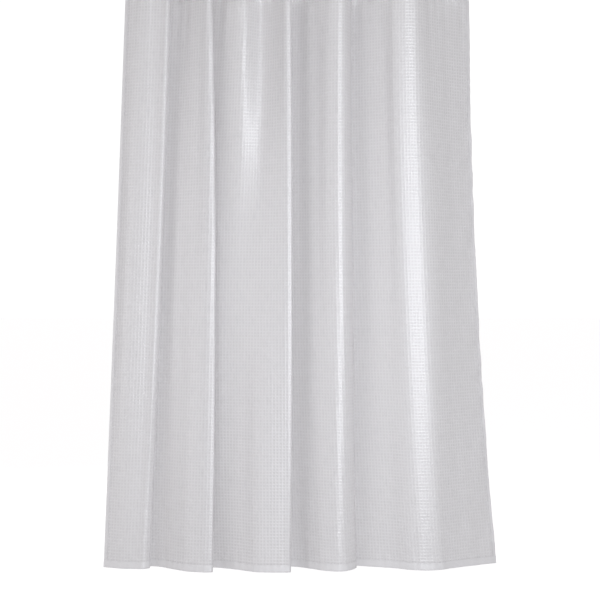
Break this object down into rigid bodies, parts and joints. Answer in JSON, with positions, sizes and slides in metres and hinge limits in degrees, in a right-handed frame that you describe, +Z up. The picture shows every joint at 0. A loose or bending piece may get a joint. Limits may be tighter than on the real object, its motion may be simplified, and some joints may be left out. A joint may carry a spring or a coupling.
{
  "type": "shower curtain",
  "caption": "White waffle-weave fabric shower curtain hanging in soft pleats, with a stiffened header, metal eyelets, a weighted hem and round plastic rings for a rod.",
  "frame": {"origin": "on the centre line of the 25 mm rod that the rings hang from, at the middle of the cloth's width", "axes": "+X along the rod to the right as seen from the front, +Z up, and the curtain's front faces -Y"},
  "size_m": [1.3255, 0.1553, 2.0369],
  "materials": {
    "waffle_cloth": "satin",
    "plain_cloth": "satin",
    "hem_weight": "matte",
    "eyelet_metal": "polished",
    "ring_plastic": "gloss"
  },
  "bodies": {
    "curtain": {"curtain_panel": "waffle_cloth", "header_band": "plain_cloth", "bottom_hem": "plain_cloth", "left_side_hem": "plain_cloth", "right_side_hem": "plain_cloth", "hem_weight_cord": "hem_weight", "grommet_01_front": "eyelet_metal", "grommet_01_back": "eyelet_metal"},
    "grommet_02": {"grommet_02_front": "eyelet_metal", "grommet_02_back": "eyelet_metal"},
    "grommet_03": {"grommet_03_front": "eyelet_metal", "grommet_03_back": "eyelet_metal"},
    "grommet_04": {"grommet_04_front": "eyelet_metal", "grommet_04_back": "eyelet_metal"},
    "grommet_05": {"grommet_05_front": "eyelet_metal", "grommet_05_back": "eyelet_metal"},
    "grommet_06": {"grommet_06_front": "eyelet_metal", "grommet_06_back": "eyelet_metal"},
    "grommet_07": {"grommet_07_front": "eyelet_metal", "grommet_07_back": "eyelet_metal"},
    "grommet_08": {"grommet_08_front": "eyelet_metal", "grommet_08_back": "eyelet_metal"},
    "grommet_09": {"grommet_09_front": "eyelet_metal", "grommet_09_back": "eyelet_metal"},
    "grommet_10": {"grommet_10_front": "eyelet_metal", "grommet_10_back": "eyelet_metal"},
    "grommet_11": {"grommet_11_front": "eyelet_metal", "grommet_11_back": "eyelet_metal"},
    "grommet_12": {"grommet_12_front": "eyelet_metal", "grommet_12_back": "eyelet_metal"},
    "ring_01": {"ring_01": "ring_plastic"},
    "ring_02": {"ring_02": "ring_plastic"},
    "ring_03": {"ring_03": "ring_plastic"},
    "ring_04": {"ring_04": "ring_plastic"},
    "ring_05": {"ring_05": "ring_plastic"},
    "ring_06": {"ring_06": "ring_plastic"},
    "ring_07": {"ring_07": "ring_plastic"},
    "ring_08": {"ring_08": "ring_plastic"},
    "ring_09": {"ring_09": "ring_plastic"},
    "ring_10": {"ring_10": "ring_plastic"},
    "ring_11": {"ring_11": "ring_plastic"},
    "ring_12": {"ring_12": "ring_plastic"}
  },
  "joints": [
    {"name": "curtain_draw", "type": "slide", "parent": "curtain", "child": "grommet_12", "axis": [-1, 0, 0], "range_m": [0, 0.74256], "deforming": ["curtain_panel", "header_band", "bottom_hem", "left_side_hem", "right_side_hem", "hem_weight_cord"]},
    {"name": "grommet_02_slide", "type": "slide", "parent": "curtain", "child": "grommet_02", "axis": [-1, 0, 0], "range_m": [0, 0.0916]},
    {"name": "grommet_03_slide", "type": "slide", "parent": "curtain", "child": "grommet_03", "axis": [-1, 0, 0], "range_m": [0, 0.1392]},
    {"name": "grommet_04_slide", "type": "slide", "parent": "curtain", "child": "grommet_04", "axis": [-1, 0, 0], "range_m": [0, 0.1916]},
    {"name": "grommet_05_slide", "type": "slide", "parent": "curtain", "child": "grommet_05", "axis": [-1, 0, 0], "range_m": [0, 0.2378]},
    {"name": "grommet_06_slide", "type": "slide", "parent": "curtain", "child": "grommet_06", "axis": [-1, 0, 0], "range_m": [0, 0.3038]},
    {"name": "grommet_07_slide", "type": "slide", "parent": "curtain", "child": "grommet_07", "axis": [-1, 0, 0], "range_m": [0, 0.3684]},
    {"name": "grommet_08_slide", "type": "slide", "parent": "curtain", "child": "grommet_08", "axis": [-1, 0, 0], "range_m": [0, 0.4275]},
    {"name": "grommet_09_slide", "type": "slide", "parent": "curtain", "child": "grommet_09", "axis": [-1, 0, 0], "range_m": [0, 0.503]},
    {"name": "grommet_10_slide", "type": "slide", "parent": "curtain", "child": "grommet_10", "axis": [-1, 0, 0], "range_m": [0, 0.5724]},
    {"name": "grommet_11_slide", "type": "slide", "parent": "curtain", "child": "grommet_11", "axis": [-1, 0, 0], "range_m": [0, 0.6594]},
    {"name": "ring_01_turn", "type": "hinge", "parent": "curtain", "child": "ring_01", "pos_m": [-0.55, 0, -0.0102], "axis": [1, 0, 0], "range_deg": [-60, 60]},
    {"name": "ring_02_turn", "type": "hinge", "parent": "grommet_02", "child": "ring_02", "pos_m": [-0.416, 0, -0.0102], "axis": [1, 0, 0], "range_deg": [-60, 60]},
    {"name": "ring_03_turn", "type": "hinge", "parent": "grommet_03", "child": "ring_03", "pos_m": [-0.346, 0, -0.0102], "axis": [1, 0, 0], "range_deg": [-60, 60]},
    {"name": "ring_04_turn", "type": "hinge", "parent": "grommet_04", "child": "ring_04", "pos_m": [-0.269, 0, -0.0102], "axis": [1, 0, 0], "range_deg": [-60, 60]},
    {"name": "ring_05_turn", "type": "hinge", "parent": "grommet_05", "child": "ring_05", "pos_m": [-0.201, 0, -0.0102], "axis": [1, 0, 0], "range_deg": [-60, 60]},
    {"name": "ring_06_turn", "type": "hinge", "parent": "grommet_06", "child": "ring_06", "pos_m": [-0.104, 0, -0.0102], "axis": [1, 0, 0], "range_deg": [-60, 60]},
    {"name": "ring_07_turn", "type": "hinge", "parent": "grommet_07", "child": "ring_07", "pos_m": [-0.009, 0, -0.0102], "axis": [1, 0, 0], "range_deg": [-60, 60]},
    {"name": "ring_08_turn", "type": "hinge", "parent": "grommet_08", "child": "ring_08", "pos_m": [0.078, 0, -0.0102], "axis": [1, 0, 0], "range_deg": [-60, 60]},
    {"name": "ring_09_turn", "type": "hinge", "parent": "grommet_09", "child": "ring_09", "pos_m": [0.189, 0, -0.0102], "axis": [1, 0, 0], "range_deg": [-60, 60]},
    {"name": "ring_10_turn", "type": "hinge", "parent": "grommet_10", "child": "ring_10", "pos_m": [0.291, 0, -0.0102], "axis": [1, 0, 0], "range_deg": [-60, 60]},
    {"name": "ring_11_turn", "type": "hinge", "parent": "grommet_11", "child": "ring_11", "pos_m": [0.419, 0, -0.0102], "axis": [1, 0, 0], "range_deg": [-60, 60]},
    {"name": "ring_12_turn", "type": "hinge", "parent": "grommet_12", "child": "ring_12", "pos_m": [0.542, 0, -0.0102], "axis": [1, 0, 0], "range_deg": [-60, 60]}
  ],
  "couplings": [
    {"joint": "grommet_02_slide", "follows": "curtain_draw", "ratio": 0.12271},
    {"joint": "grommet_03_slide", "follows": "curtain_draw", "ratio": 0.18681},
    {"joint": "grommet_04_slide", "follows": "curtain_draw", "ratio": 0.25733},
    {"joint": "grommet_05_slide", "follows": "curtain_draw", "ratio": 0.3196},
    {"joint": "grommet_06_slide", "follows": "curtain_draw", "ratio": 0.40842},
    {"joint": "grommet_07_slide", "follows": "curtain_draw", "ratio": 0.49542},
    {"joint": "grommet_08_slide", "follows": "curtain_draw", "ratio": 0.57509},
    {"joint": "grommet_09_slide", "follows": "curtain_draw", "ratio": 0.67674},
    {"joint": "grommet_10_slide", "follows": "curtain_draw", "ratio": 0.77015},
    {"joint": "grommet_11_slide", "follows": "curtain_draw", "ratio": 0.88736}
  ]
}
